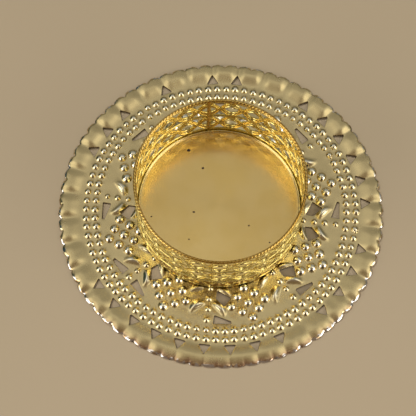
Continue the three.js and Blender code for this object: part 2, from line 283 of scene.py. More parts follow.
# Tones at the edges: cut edges and the lip's rim dark, part bare metal and part painted shade; pink-brown,
# tarnished and towards the front a painted reflection; silver where rubbed bare
WEAR_AND_SHADE_TONES = dict(cut=(0.12, 0.08, 0.04), tarnish_and_reflection=(0.62, 0.38, 0.22), bare=(0.88, 0.84, 0.79))
POLISHED_TONES = ("worn_and_sheen", "bare")
# Layers of tone: mark on the mesh, range that it is read over, shares that it gives, tone
LAYERS = [
    # Painted shade: the low relief, between the strands and in the rope's grooves, darkens
    ("relief", 0.0, 0.3, 1.0, 0.0, "hollow_shade"),
    # The dark cut edges and the lip's rim: part bare cut metal, part painted shade
    ("edge", 0.6, 0.9, 0.0, 0.9, "cut"),
    # The high relief turns lighter and polished: part rubbed plating, part painted highlight
    ("relief", 0.2, 0.7, 0.0, 1.0, "worn_and_sheen"),
    # Pink-brown near the edge: tarnished, and towards the front a painted reflection of brown surroundings
    ("tarnish_and_reflection", 0.1, 0.9, 0.0, 0.85, "tarnish_and_reflection"),
    ("bare", 0.5, 0.8, 0.0, 0.85, "bare"),
]
CLOUD_SCALE = 170
GRAIN_SCALE = 2600
SCRATCH_SCALE = (300, 7000, 300)
SCRATCH_TURN = (0, 0, 0.6)
CRINKLE_SCALE = 1100
GRAIN_DEPTH = 0.00004
CRINKLE_DEPTH = 0.00015
MATT_DEPTH = 0.00005

# Room: wall and ceiling, then patches as azimuth, elevation, inner and outer radius in degrees, colour
WALL_LIGHT = (0.16, 0.165, 0.155)
CEILING_LIGHT = (0.575, 0.57, 0.555)
SKY_PATCHES = [
    (172, 48, 12, 26, (0.34, 0.335, 0.325)),
    (0, 32, 42, 76, (0.2, 0.155, 0.12)),
    (0, 22, 13, 20, (0.02, 0.02, 0.02)),
    (-105, 12, 22, 42, (0.03, 0.055, 0.06)),
    (90, 62, 5, 20, (1.25, 1.22, 1.14)),
    (-90, 62, 5, 20, (1.1, 1.07, 1.0)),
]
WINDOW_AZIMUTH = 64
WINDOW_ELEVATION = 23
WINDOW_SIZE = (0.5, 0.36)
WINDOW_DISTANCE = 0.62
WINDOW_RADIANCE = 2.7
KEY_TOWARD = (-135, 60)
KEY_ENERGY = 1.4
KEY_ANGLE = math.radians(14)
FLOOR_HALF = 1500
FLOOR_DROP = 0.02


def height_of(node):
    """Lowest and highest point of a solid, in millimetres."""
    low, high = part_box(node)
    return low.z / MM, high.z / MM


PAN_BASE, LIP_TOP = height_of("cup_pan")
PAN_FLOOR = PAN_BASE + PAN_SHEET
CUP_BASE, STRIP_TOP = height_of("gallery_wall")
ROPE_BASE, ROPE_TOP = height_of("rim_rope")
STRIP_HEIGHT = STRIP_TOP - CUP_BASE
LENS_PITCH = TURN * WALL_RADIUS / LENSES


# Small helpers

def smooth(share):
    share = np.clip(share, 0, 1)
    return share * share * (3 - 2 * share)


def place(angle, out, side=0):
    """A point by its distance out along a direction and its distance to the left of it."""
    x = out * math.cos(angle) - side * math.sin(angle)
    y = out * math.sin(angle) + side * math.cos(angle)
    return x, y


def arc(middle, radius, start, end, steps):
    """Points on an arc, with angles in degrees."""
    angles = np.radians(np.linspace(start, end, steps + 1))
    return [(middle[0] + radius * math.cos(a), middle[1] + radius * math.sin(a)) for a in angles]


def cloud(points, size, layer=0.0):
    """Smooth noise from -1 to 1 at 2-D or 3-D points, with bumps of about the given size."""
    found = np.empty(len(points))
    for i, point in enumerate(points):
        height = point[2] / size if len(point) > 2 else 0.0
        found[i] = noise.noise(Vector((point[0] / size, point[1] / size, height + layer)))
    return found


def layered_cloud(points, layers):
    """Sum of clouds, each given by its height, size and layer."""
    return sum(height * cloud(points, size, layer) for height, size, layer in layers)


# Meshes

def put(name, data):
    made = bpy.data.objects.new(name, data)
    bpy.context.scene.collection.objects.link(made)
    return made


def new_piece(name, verts, faces, material, marks=None, sharp=40):
    """A mesh object from points in millimetres, with smooth shading up to an angle."""
    mesh = bpy.data.meshes.new(name)
    mesh.from_pydata((np.asarray(verts, float) * MM).tolist(), [], faces)
    mesh.validate()
    for mark, values in (marks or {}).items():
        layer = mesh.attributes.new(mark, "FLOAT", "POINT")
        layer.data.foreach_set("value", np.asarray(values, np.float32))
    mesh.shade_smooth()
    mesh.set_sharp_from_angle(angle=math.radians(sharp))
    mesh.materials.append(material)
    return put(name, mesh)


def dress(piece, node):
    """Ties a piece to the frame: it rides on the only body and stands for a node."""
    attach(piece, "root")
    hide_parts(node)


def tube_faces(rings, sides, closed=False):
    """Faces of a tube of rings, which may itself be closed to a ring."""
    faces = []
    for i in range(rings if closed else rings - 1):
        near, far = i * sides, (i + 1) % rings * sides
        for j in range(sides):
            k = (j + 1) % sides
            faces.append((near + j, near + k, far + k, far + j))
    return faces


def lathe(profile, steps):
    """Closed revolved solid from a profile that runs from the axis to the axis again."""
    rings = profile[1:-1]
    verts = [(0, 0, profile[0][1])]
    for radius, height in rings:
        verts += [(*place(i / steps * TURN, radius), height) for i in range(steps)]
    verts.append((0, 0, profile[-1][1]))
    last = len(verts) - 1
    faces = [tuple(1 + corner for corner in face) for face in tube_faces(len(rings), steps)]
    for i in range(steps):
        j = (i + 1) % steps
        faces += [(0, 1 + j, 1 + i), (last, last - steps + i, last - steps + j)]
    return np.array(verts, float), faces


def inside(loop, points):
    """Which points lie inside a closed loop."""
    found = np.zeros(len(points), bool)
    for (u, v), (next_u, next_v) in zip(loop, np.roll(loop, -1, 0)):
        if v == next_v:
            continue
        spans = (points[:, 1] > v) != (points[:, 1] > next_v)
        crossing = u + (points[:, 1] - v) / (next_v - v) * (next_u - u)
        found ^= spans & (points[:, 0] < crossing)
    return found


class Net:
    """Points of a flat sheet and the closed outlines that bound it or pierce it."""

    def __init__(self, cell):
        self.cell = cell
        self.points = []
        self.edges = []
        self.holes = []
        self.cells = {}

    def key(self, u, v):
        return int(u // self.cell), int(v // self.cell)

    def crowded(self, u, v, gap):
        column, row = self.key(u, v)
        around = [(i, j) for i in range(column - 1, column + 2) for j in range(row - 1, row + 2)]
        near = (spot for cell in around for spot in self.cells.get(cell, ()))
        return any((a - u) ** 2 + (b - v) ** 2 < gap * gap for a, b in near)

    def add(self, u, v):
        self.cells.setdefault(self.key(u, v), []).append((u, v))
        self.points.append(Vector((u, v)))

    def offer(self, points, gap):
        """Adds each point that lies at least the gap away from those that are there."""
        for u, v in points:
            if not self.crowded(u, v, gap):
                self.add(u, v)

    def outline(self, loop):
        first, count = len(self.points), len(loop)
        for u, v in loop:
            self.add(u, v)
        self.edges += [(first + i, first + (i + 1) % count) for i in range(count)]

    def hole(self, loop):
        self.outline(loop)
        self.holes.append(np.array(loop))

    def triangles(self):
        """Points and triangles inside the outer outline and outside the holes."""
        inside_outline = 1
        found = delaunay_2d_cdt(self.points, self.edges, [], inside_outline, 1e-6)
        flat = np.array([tuple(point) for point in found[0]])
        faces = np.array(found[2])
        middles = flat[faces].mean(1)
        kept = np.ones(len(faces), bool)
        for hole in self.holes:
            low, high = hole.min(0), hole.max(0)
            near = np.flatnonzero(((middles > low) & (middles < high)).all(1))
            kept[near[inside(hole, middles[near])]] = False
        faces = faces[kept]
        used = np.unique(faces)
        renumber = np.full(len(flat), -1)
        renumber[used] = np.arange(len(used))
        return flat[used], renumber[faces]


def two_sided(front, back, triangles):
    """Closed sheet: front and back over the same triangles, with walls at the borders."""
    count = len(front)
    faces = triangles.tolist()
    directed = {edge: True for a, b, c in faces for edge in ((a, b), (b, c), (c, a))}
    walls = [(b, a, a + count, b + count) for a, b in directed if (b, a) not in directed]
    return np.vstack([front, back]), faces + (triangles[:, ::-1] + count).tolist() + walls


def distance_to(loops, points):
    """Distance from each point to the nearest point of the loops."""
    corners = [corner for loop in loops for corner in loop]
    tree = kdtree.KDTree(len(corners))
    for i, (u, v) in enumerate(corners):
        tree.insert((u, v, 0), i)
    tree.balance()
    return np.array([tree.find((u, v, 0))[2] for u, v in points])


def rounded(corners, radius, step):
    """Closed loop round a polygon with its corners rounded and its sides divided."""
    corners = np.array(corners, float)
    shares = np.linspace(0, 1, 5)[:, None]
    bends = []
    for before, corner, after in zip(np.roll(corners, 1, 0), corners, np.roll(corners, -1, 0)):
        inward, outward = ((side - corner) / np.linalg.norm(side - corner) for side in (before, after))
        half_angle = math.acos(float(np.clip(inward @ outward, -1, 1))) / 2
        reach = radius / math.tan(half_angle)
        start, end = (corner + way * reach for way in (inward, outward))
        bends.append((1 - shares) ** 2 * start + 2 * shares * (1 - shares) * corner + shares ** 2 * end)
    loop = []
    for bend, following in zip(bends, bends[1:] + bends[:1]):
        start, end = bend[-1], following[0]
        parts = max(1, round(float(np.linalg.norm(end - start)) / step))
        loop += [*bend, *(start + (end - start) * k / parts for k in range(1, parts))]
    return [tuple(point) for point in loop]


def grown(loop, distance):
    """The loop moved outwards along its own normals."""
    points = np.array(loop) @ [1, 1j]
    along = np.roll(points, -1) - np.roll(points, 1)
    turn = np.sum((points.conj() * np.roll(points, -1)).imag)
    moved = points - 1j * along / np.abs(along) * distance * np.sign(turn)
    return list(zip(moved.real, moved.imag))


# Base plate

def front_share(angle):
    """Nearness to the front of the plate: 1 at the front, fading to both sides."""
    return (0.5 - 0.5 * np.sin(angle)) ** 4


def edge_radius(angle):
    """Radius of the scalloped edge, whose notches are shallower at the front."""
    wave = np.abs(np.sin(STATIONS * (angle - STATION_PHASE)))
    depth = LOBE_DEPTH * (1 - SHALLOW_FRONT * front_share(angle))
    return NOTCH_RADIUS + LOBE_DEPTH - depth * (1 - np.sqrt(wave))


def roll_share(radius, angle):
    """How far a place lies down the rolled edge: 0 before it, 1 at the very edge."""
    return np.clip((radius - ROLL_RADIUS) / (edge_radius(angle) - ROLL_RADIUS), 0, 1)


def bead_domes(draw):
    """The two rings of beads, some of them struck twice, as (x, y, radius, rise)."""
    domes = []
    for radius, count in BEAD_RINGS:
        for i in range(count):
            angle = i / count * TURN
            x, y = place(angle, radius)
            domes.append((x, y, BEAD_RADIUS, BEAD_RISE))
            turned = (angle + math.pi) % TURN - math.pi
            if STRIKE_FROM < turned < STRIKE_TO and draw.random() < STRIKE_SHARE:
                dx, dy = place(draw.uniform(0, TURN), STRIKE_SHIFT)
                domes.append((x + dx, y + dy, BEAD_RADIUS * STRIKE_WIDTH, BEAD_RISE * STRIKE_RISE))
    return domes


def motif_domes():
    domes = []
    for stem in STEM_ANGLES:
        for i in range(DOTS):
            dot = place(stem, WALL_RADIUS + DOT_START + i * DOT_STEP)
            domes.append((*dot, DOT_RADIUS, DOT_RISE))
        bunch = stem + TURN / MOTIFS / 2
        for i in range(GRAPE_ROWS):
            for j in range(GRAPE_ROWS):
                out = WALL_RADIUS + GRAPE_START + (i + j) * GRAPE_ROW
                domes.append((*place(bunch, out, (i - j) * GRAPE_SIDE), GRAPE_RADIUS, GRAPE_RISE))
    return domes


def plate_domes():
    """Every round boss on the plate, with the small errors of stamping."""
    draw = random.Random(SEED)
    domes = []
    for x, y, radius, rise in bead_domes(draw) + motif_domes():
        x += draw.gauss(0, PLACE_JITTER)
        y += draw.gauss(0, PLACE_JITTER)
        radius *= 1 + draw.uniform(-SIZE_JITTER, SIZE_JITTER)
        domes.append((x, y, radius, rise))
    return domes


def dome_share(share):
    """Height of a unit dome at a share of its radius, with a fillet at its foot."""
    rim = math.sqrt(1 - DOME_ROUND)
    cap = (np.sqrt(1 - DOME_ROUND * np.minimum(share, 1) ** 2) - rim) / (1 - rim)
    foot_slope = DOME_ROUND / rim / (1 - rim)
    cap = np.where(share > 1, -foot_slope * (share - 1), cap)
    return (cap + np.hypot(cap, DOME_FILLET)) / 2


def plate_leaves():
    """Leaves and petals as (base, tip, half width, rise, sideways bow), a place being x + iy."""
    leaves = []
    for stem in STEM_ANGLES:
        for hand in (1, -1):
            for base, tip, width, rise, bow in (LEAF, PETAL):
                ends = [complex(*place(stem, WALL_RADIUS + out, hand * side)) for side, out in (base, tip)]
                leaves.append((*ends, width / 2, rise, hand * bow))
    return leaves


def leaf_width(along):
    """Half width of a unit leaf, widest before its middle and pointed at its tip."""
    return np.sin(math.pi * np.clip(along, 0, 1) ** LEAF_SKEW) ** LEAF_BLUNT


def ridge_width(half_width, along):
    """Half width of a leaf's ridge, which stays broad at both ends."""
    return half_width * (0.5 + 0.5 * leaf_width(along))


def leaf_bend(along, bow):
    return 4 * bow * along * (1 - along)


def leaf_height(x, y, leaf):
    """A soft ridge along a bowed line, steep on its outer side."""
    base, tip, half_width, rise, bow = leaf
    local = (x + 1j * y - base) / (tip - base)
    along = local.real
    across = local.imag * abs(tip - base) - leaf_bend(along, bow)
    steepness = np.where(across * bow < 0, STEEP_SHARE, 1.0)
    width = ridge_width(half_width, along) * steepness
    ridge = np.clip(1 - (across / width) ** 2, 0, 1) ** 2
    return rise * np.where((along > 0) & (along < 1), ridge, 0) * leaf_width(along) ** LEAF_FADE


def leaf_points(leaf):
    base, tip, half_width, _, bow = leaf
    length = abs(tip - base)
    points = []
    for along in np.linspace(0, 1, round(length / LEAF_STEP) + 1):
        width = float(ridge_width(half_width, along))
        for share in LEAF_LINES:
            across = share * width + leaf_bend(along, bow)
            spot = base + (along + 1j * across / length) * (tip - base)
            points.append((spot.real, spot.imag))
    return points


def plate_cuts():
    """Outlines of every hole in the plate."""
    cuts = []
    base = FLAT_RADIUS + TRIANGLE_MARGIN
    triangle = [(TRIANGLE_WIDTH / 2, base), (-TRIANGLE_WIDTH / 2, base), (0, base + TRIANGLE_HEIGHT)]
    for station in range(STATIONS):
        if station not in BLIND_STATIONS:
            angle = STATION_PHASE + station / STATIONS * TURN
            cuts.append([place(angle, out, side) for side, out in triangle])
    for motif, stem in enumerate(STEM_ANGLES):
        for hand in (1, -1):
            for outline, clockwise in ((SLIT, CLOCKWISE_SLITS), (KITE, CLOCKWISE_KITES)):
                if hand > 0 or motif in clockwise:
                    cuts.append([place(stem, WALL_RADIUS + out, hand * side) for side, out in outline])
    return [rounded(corners, CUT_ROUNDING, CUT_STEP) for corners in cuts]


def dome_points(x, y, radius):
    """Rings of points on a dome, every other ring turned by half a step."""
    sides = DOME_SIDES if radius < GREAT_DOME else GREAT_DOME_SIDES
    points = []
    for ring, share in enumerate(DOME_RINGS):
        start = ring % 2 * 180 / sides
        points += arc((x, y), radius * share, start, start + 360, sides)[:-1]
    return points


def grid_points(fill, inner, outer):
    """Points in staggered rows between two radii."""
    reach = np.arange(-FLAT_RADIUS, FLAT_RADIUS, fill)
    grid = [(x + (row % 2) * fill / 2, y) for row, y in enumerate(reach) for x in reach]
    return [point for point in grid if inner <= math.hypot(*point) < outer]


def plate_net(domes, leaves, cuts):
    net = Net(PLATE_CELL)
    angles = np.arange(EDGE_COLUMNS) / EDGE_COLUMNS * TURN + STATION_PHASE
    rim = edge_radius(angles)
    net.outline([place(a, r) for a, r in zip(angles, rim)])
    for cut in cuts:
        net.hole(cut)
        for distance, gap in CUT_RINGS:
            net.offer(grown(cut, distance), gap)
    for x, y, radius, rise in domes:
        net.offer([(x, y)], DOME_MIDDLE_GAP)
        net.offer(dome_points(x, y, radius), FINE_GAP)
    for leaf in leaves:
        net.offer(leaf_points(leaf), FINE_GAP)
    for radius in np.linspace(FLAT_RADIUS, ROLL_RADIUS, BORDER_RINGS):
        net.offer([place(a, radius) for a in angles], BORDER_GAP)
    for share in ROLL_RINGS:
        rings = ROLL_RADIUS + share * (rim - ROLL_RADIUS)
        net.offer([place(a, r) for a, r in zip(angles, rings)], BORDER_GAP)
    for fill, inner, outer in GRIDS:
        net.offer(grid_points(fill, inner, outer), GRID_GAP * fill)
    return net


def sheet_height(radius, angle, roll):
    """Top of the bare sheet: flat middle, fluted slope and turned-down lip."""
    station = STATIONS * (angle - STATION_PHASE)
    slope = smooth((radius - FLAT_RADIUS) / SLOPE_WIDTH)
    front = front_share(angle)
    fold = FOLD_CREST - FOLD_DEPTH * (0.5 + 0.5 * np.cos(station)) ** 3
    flute = FLUTE_RISE * fold * (1 - FRONT_CALM * front)
    onset = smooth((radius - FLAT_RADIUS) / FLUTE_ONSET)
    lean_reach = edge_radius(angle) - LEAN_RADIUS
    lean = FRONT_LEAN * front * np.clip((radius - LEAN_RADIUS) / lean_reach, 0, 1) ** 2
    fall = SOFT_ROLL * roll ** 2 + (1 - SOFT_ROLL) * roll ** 4
    drop = (STAND + SLOPE_RISE + flute - FRONT_LEAN * front) * fall
    bulge = LOBE_BULGE * np.abs(np.sin(station)) ** 0.7 * roll ** 3
    return PLATE_TOP + SLOPE_RISE * slope + flute * onset - lean - drop + bulge


def waviness(flat, radius):
    """The low swell that stamping leaves in thin sheet; none under the cup or at the edge."""
    swell = layered_cloud(flat, PLATE_SWELLS)
    fade = smooth((radius - SWELL_START) / SWELL_ONSET) * smooth((NOTCH_RADIUS - radius) / SWELL_END)
    return SWELL * np.clip(0.5 + 0.6 * swell, 0, 1) * fade


def plate_relief(x, y, domes, leaves):
    """Height of the beads, grapes, dots and leaves above the sheet."""
    relief = np.zeros(len(x))
    for dome_x, dome_y, radius, rise in domes:
        share = np.hypot(x - dome_x, y - dome_y) / radius
        near = share < 1.3
        relief[near] = np.maximum(relief[near], rise * dome_share(share[near]))
    for leaf in leaves:
        relief = np.maximum(relief, leaf_height(x, y, leaf))
    return relief


def edge_wear_and_shade(flat, cuts, radius, angle, roll):
    """Marks at the edges: cut edges and the lip's rim darkened, part bare metal and part painted shade;
    pink-brown near the edge, tarnished, and towards the front a painted reflection; scallops rubbed bare
    in places.
    """
    near_edge = smooth((radius - edge_radius(angle) + TARNISH_AND_REFLECTION_WIDTH) / TARNISH_AND_REFLECTION_WIDTH)
    # Tarnished all round at the side share, and towards the front mostly a painted reflection of brown
    # surroundings in the lip
    at_angle = SIDE_TARNISH + (1 - SIDE_TARNISH) * front_share(angle)
    tarnish_and_reflection = near_edge * at_angle * (0.8 + 0.4 * cloud(flat, TARNISH_AND_REFLECTION_SIZE, 12.0))
    rub = cloud(flat, RUB_SIZE, 15.0)
    # The lip darkens towards its rim, less where rubbed: part its dark cut edge, part painted shade
    dark = np.minimum(roll ** 1.5 * (0.75 - 0.6 * rub), DARKEST_EDGE)
    # Cut edges darken within a soft band: part bare cut metal, part painted shade
    edge = np.maximum(np.exp(-distance_to(cuts, flat) / CUT_SHADE_SOFTNESS), dark)
    return {"edge": edge, "tarnish_and_reflection": tarnish_and_reflection, "bare": roll * (0.8 + 0.9 * rub)}


def base_plate(material):
    domes, leaves, cuts = plate_domes(), plate_leaves(), plate_cuts()
    flat, triangles = plate_net(domes, leaves, cuts).triangles()
    x, y = flat[:, 0], flat[:, 1]
    radius, angle = np.hypot(x, y), np.arctan2(y, x)
    roll = roll_share(radius, angle)
    relief = plate_relief(x, y, domes, leaves)
    wear_and_shade = edge_wear_and_shade(flat, cuts, radius, angle, roll)
    sheet = sheet_height(radius, angle, roll) + waviness(flat, radius)
    crimp = EDGE_CRIMP * np.abs(cloud(flat, CRIMP_SIZE, 9.0)) * roll ** 2 * (1 - roll ** 8)
    top = sheet + relief + crimp
    front = np.column_stack([x, y, top - CUT_DROP * wear_and_shade["edge"]])
    back = np.column_stack([x, y, top - SHEET])
    verts, faces = two_sided(front, back, triangles)
    # Relief gives a slightly darker painted shade to the sheet round the bosses and a lighter, partly
    # painted highlight on them
    marks = {"relief": relief / GRAPE_RISE, **wear_and_shade}
    both_sides = {name: np.tile(values, 2) for name, values in marks.items()}
    dress(new_piece("stamped_plate", verts, faces, material, both_sides), "base_plate")


# Cup

def cup_shape(points):
    """Moves points of a round cup to its real place and slightly oval, leaning form."""
    points = np.array(points, float)
    share = np.clip((points[:, 2] - CUP_BASE) / STRIP_HEIGHT, 0, 1.1)
    oval = (OVAL_FOOT + (OVAL_RIM - OVAL_FOOT) * share) / WALL_RADIUS
    points[:, 0] = points[:, 0] * (1 - oval) + CUP_OFFSET
    points[:, 1] = points[:, 1] * (1 + oval) + LEAN_BACK * share
    return points


def pan_profile():
    """Section of the pan from the middle of its underside to the middle of its floor."""
    lip_middle = LIP_TOP - PAN_LIP
    inner = PAN_OUTER - PAN_SHEET
    bend = PAN_CORNER - PAN_SHEET
    profile = [(r, PAN_BASE) for r in (0, 5, 10, 15)]
    profile += arc((PAN_OUTER - PAN_CORNER, PAN_BASE + PAN_CORNER), PAN_CORNER, -90, 0, 6)
    profile += [(PAN_OUTER, h) for h in np.linspace(PAN_BASE + PAN_CORNER, lip_middle, 4)[1:-1]]
    profile += arc((PAN_OUTER - PAN_LIP, lip_middle), PAN_LIP, 0, 235, 20)
    profile += arc((inner - bend, PAN_FLOOR + bend), bend, 0, -90, 6)
    return profile + [(r, PAN_FLOOR) for r in np.linspace(inner - bend, 0, 26)[1:]]


def pan_shape(points):
    """Lets the pan's thin floor swell a little, and gives it the cup's form."""
    radius = np.hypot(points[:, 0], points[:, 1])
    on_floor = np.abs(points[:, 2] - PAN_FLOOR) < 0.01
    swell = layered_cloud(points[:, :2], PAN_SWELLS)
    points[:, 2] += np.where(on_floor, swell * smooth((PAN_OUTER - 1.5 - radius) / 4), 0)
    return cup_shape(points)


def cup_pan(material):
    verts, faces = lathe(pan_profile(), PAN_STEPS)
    verts = pan_shape(verts)
    # Height as relief: the floor takes the painted shade of the low relief, the lip the lighter tone that
    # is partly painted highlight
    height = (verts[:, 2] - PAN_BASE) / (LIP_TOP - PAN_BASE)
    pan = new_piece("spun_pan", verts, faces, material, {"relief": height}, sharp=60)
    dress(pan, "cup_pan")


def wave(along):
    """Height of a strand above the middle of its tier, and its slope."""
    turn = math.pi / LENS_PITCH
    return WAVE_RISE * np.cos(turn * along), -WAVE_RISE * turn * np.sin(turn * along)


def half_strand(along):
    """Half the width of a strand, measured straight up."""
    return STRAND / 2 * np.hypot(1, wave(along)[1])


def lens_gap(along):
    """Half the height of a lens opening at a distance from its middle line."""
    return wave(along)[0] - half_strand(along)


def first_place(end, is_past):
    """The first of many distances up to an end for which a test holds."""
    reach = np.linspace(0, end, SEARCH_STEPS)
    return float(reach[np.argmax(is_past(reach))])


def lens_tip():
    return first_place(LENS_PITCH / 2, lambda along: lens_gap(along) < 0)


def loop_edge(along):
    """Half the outer height of the loop that lies inside a lens."""
    share = along / (CRESCENT_REACH * lens_tip())
    return lens_gap(along) - CRESCENT * np.clip(1 - share ** 2, 0, 1)


def loop_line(along):
    """Half the height of a loop's middle line, and its slope."""
    slope = (loop_edge(along + SLOPE_STEP) - loop_edge(along - SLOPE_STEP)) / (2 * SLOPE_STEP)
    return loop_edge(along) - LOOP / 2 * np.hypot(1, slope), slope


def eye_gap(along):
    """Half the height of the opening inside a loop."""
    middle, slope = loop_line(along)
    return middle - LOOP / 2 * np.hypot(1, slope)


def crescent_hole(lens, middle, up):
    """The narrow opening between a strand and the loop beside it."""
    along = CRESCENT_REACH * lens_tip() * np.sin(np.linspace(-0.5, 0.5, 13) * math.pi)
    outer = list(zip(along, lens_gap(along)))
    inner = list(zip(along, loop_edge(along)))[-2:0:-1]
    return [(lens * LENS_PITCH + float(u), middle + up * float(v)) for u, v in outer + inner]


def eye_hole(lens, middle, first=-1.0, last=1.0):
    """The opening inside a loop, or the part of it between two shares of its half width."""
    tip = first_place(lens_tip(), lambda along: eye_gap(along) < LEAST_EYE)
    shares = np.sin(np.linspace(math.asin(first), math.asin(last), 15))
    heights = [max(LEAST_EYE, float(eye_gap(tip * share))) for share in shares]
    upper = [(lens * LENS_PITCH + tip * share, middle + height) for share, height in zip(shares, heights)]
    return upper + [(u, 2 * middle - v) for u, v in reversed(upper)]


def crossing_top(reach):
    """Height of the upper strand's edge at a distance from a crossing."""
    along = LENS_PITCH / 2 - reach
    return wave(along)[0] + half_strand(along)


def tent_hole(crossing, middle, up):
    """The small opening between a crossing and the rail above or below it."""
    rail = TIER_HEIGHT / 2 - RAIL / 2
    corner = first_place(LENS_PITCH / 2, lambda reach: crossing_top(reach) > rail - TENT_CORNER)
    loop = [(share * corner, float(crossing_top(abs(share) * corner))) for share in np.linspace(-1, 1, 11)]
    loop += [(share * corner, rail) for share in np.linspace(0.9, -0.9, 7)]
    return [((crossing + 0.5) * LENS_PITCH + u, middle + up * v) for u, v in loop]


def gallery_holes():
    holes = []
    for middle in TIER_MIDDLES:
        for lens in range(1, LENSES):
            holes.append(eye_hole(lens, middle))
            holes += [crescent_hole(lens, middle, up) for up in (1, -1)]
        holes += [eye_hole(0, middle, SEAM_EYE, 1.0), eye_hole(LENSES, middle, -1.0, -SEAM_EYE)]
        for crossing in range(LENSES):
            holes += [tent_hole(crossing, middle, up) for up in (1, -1)]
    return holes


def loop_points(middle):
    """Points along every loop of a tier, on its middle line and beside it."""
    along = np.linspace(-0.85, 0.85, 27) * lens_tip()
    line, slope = loop_line(along)
    points = []
    for lens in range(LENSES + 1):
        places = lens * LENS_PITCH + along
        clear = (places > LOOP_END_MARGIN) & (places < LENSES * LENS_PITCH - LOOP_END_MARGIN)
        for offset in LOOP_LINES:
            height = line + offset * np.hypot(1, slope)
            kept = clear & (height > 0.1)
            for u, v in zip(places[kept], height[kept]):
                points += [(u, middle + v), (u, middle - v)]
    return points


def strand_points(middle, along):
    """Points along both strands of a tier, on their middle lines and beside them."""
    height, slope = wave(along)
    steep = np.hypot(1, slope)
    points = []
    for hand in (1, -1):
        for offset in STRAND_LINES:
            u = along - offset * hand * slope / steep
            v = middle + hand * height + offset / steep
            kept = (u > along[0] + END_MARGIN) & (u < along[-1] - END_MARGIN)
            points += list(zip(u[kept], v[kept]))
    return points


def band_levels():
    """Heights of the rows of points on the rails and on the closed band."""
    levels = [rail + share * RAIL for rail in RAIL_HEIGHTS for share in RAIL_LINES]
    levels += list(np.arange(0.1, FOOT_BAND - 0.3, FOOT_STEP))
    return [level for level in levels if level < STRIP_HEIGHT - END_MARGIN]


def gallery_net(holes):
    first, last = SEAM_WIDTH / 2, LENSES * LENS_PITCH - SEAM_WIDTH / 2
    along = np.linspace(first, last, GALLERY_COLUMNS)
    levels = np.linspace(0, STRIP_HEIGHT, GALLERY_ROWS)
    net = Net(GALLERY_CELL)
    loop = [(u, 0) for u in along[1:-1]] + [(last, v) for v in levels]
    loop += [(u, STRIP_HEIGHT) for u in along[-2:0:-1]] + [(first, v) for v in levels[::-1]]
    net.outline(loop)
    for hole in holes:
        net.hole(hole)
    for middle in TIER_MIDDLES:
        net.offer(strand_points(middle, along), GALLERY_GAP)
        net.offer(loop_points(middle), GALLERY_GAP)
    rail_along = np.linspace(first + END_MARGIN, last - END_MARGIN, RAIL_COLUMNS)
    for level in band_levels():
        net.offer([(u, level) for u in rail_along], GALLERY_GAP)
    return net


def round_bar(offset, half_width):
    """Section of a half-round bar at an offset from its middle line."""
    return np.sqrt(np.clip(1 - (offset / half_width) ** 2, 0, 1))


def ribbed_strand(offset):
    """Section of a strand with two ribs and a groove between them."""
    rib_place = STRAND / 4
    return round_bar(np.abs(offset) - rib_place, rib_place * RIB_SPREAD)


def strand_offsets(along, up, middle):
    """Distances from the two crossing strands of a tier, one for each hand."""
    height, slope = wave(along)
    return {hand: (up - middle - hand * height) / np.hypot(1, slope) for hand in (1, -1)}


def foot_relief(along, up):
    """Ornament of the closed band: the strands run on, over a bead at the lower edge."""
    offsets = strand_offsets(along, up, FOOT_BAND - TIER_HEIGHT / 2)
    strands = [ribbed_strand(offset) * (np.abs(offset) < STRAND_REACH) for offset in offsets.values()]
    bead = round_bar(up - FOOT_BEAD, FOOT_BEAD + 0.01)
    return np.maximum.reduce([*strands, bead, np.full(len(along), FOOT_GROUND)])


def loop_relief(along, height):
    """Rounded section of the loops, by the height above the middle of the tier."""
    beside = ((along / LENS_PITCH + 0.5) % 1 - 0.5) * LENS_PITCH
    line, slope = loop_line(beside)
    offset = (np.abs(height) - line) / np.hypot(1, slope)
    return np.where(np.abs(beside) < lens_tip(), round_bar(offset, LOOP * BAR_SPREAD), 0)


def shared_relief(along, up):
    """Lift that both faces have alike: loops, rails and the thick ends beside the joint."""
    bars = [round_bar(np.minimum(along, LENSES * LENS_PITCH - along), JOINT_REACH)]
    bars += [loop_relief(along, up - middle) for middle in TIER_MIDDLES]
    bars += [round_bar(up - rail, RAIL * BAR_SPREAD) for rail in RAIL_HEIGHTS]
    return WALL_HALF * np.maximum.reduce(bars)


def gallery_relief(along, up):
    """Lift of the outer and the inner face from the middle of the sheet."""
    outer = np.maximum(shared_relief(along, up), LEAST_LIFT)
    inner = outer.copy()
    for middle in TIER_MIDDLES:
        for hand, offset in strand_offsets(along, up, middle).items():
            bar = WALL_HALF * ribbed_strand(offset)
            lift = hand * CROSSING_LIFT * np.sin(math.pi / LENS_PITCH * along)
            on_strand = np.abs(offset) <= STRAND_REACH
            outer = np.maximum(outer, np.where(on_strand, bar + lift, 0))
            inner = np.maximum(inner, np.where(on_strand, bar - lift, 0))
    on_band = up < FOOT_BAND - RAIL / 2
    outer = np.maximum(outer, np.where(on_band, WALL_HALF * foot_relief(along, up), 0))
    return outer, np.maximum(inner, np.where(on_band, FOOT_INNER, 0))


def wrap(along, up, lift):
    """Bends the flat strip round the cup, leaning out towards its rim."""
    angle = SEAM_ANGLE + along / WALL_RADIUS
    radius = WALL_MIDDLE + RIM_FLARE * up / STRIP_HEIGHT + lift
    return cup_shape(np.column_stack([radius * np.cos(angle), radius * np.sin(angle), CUP_BASE + up]))


def foot_reach(along, up):
    """How far the strip's lower edge reaches down between the grapes that carry the cup."""
    edge = wrap(along, np.zeros(len(along)), 0)
    grapes = [place(stem + TURN / MOTIFS / 2, WALL_RADIUS + GRAPE_START) for stem in STEM_ANGLES]
    nearest = np.min([np.hypot(edge[:, 0] - x, edge[:, 1] - y) for x, y in grapes], 0)
    return FOOT_DROP * smooth((nearest - GRAPE_RADIUS) / FOOT_GAP) * (1 - smooth(up / FOOT_FADE))


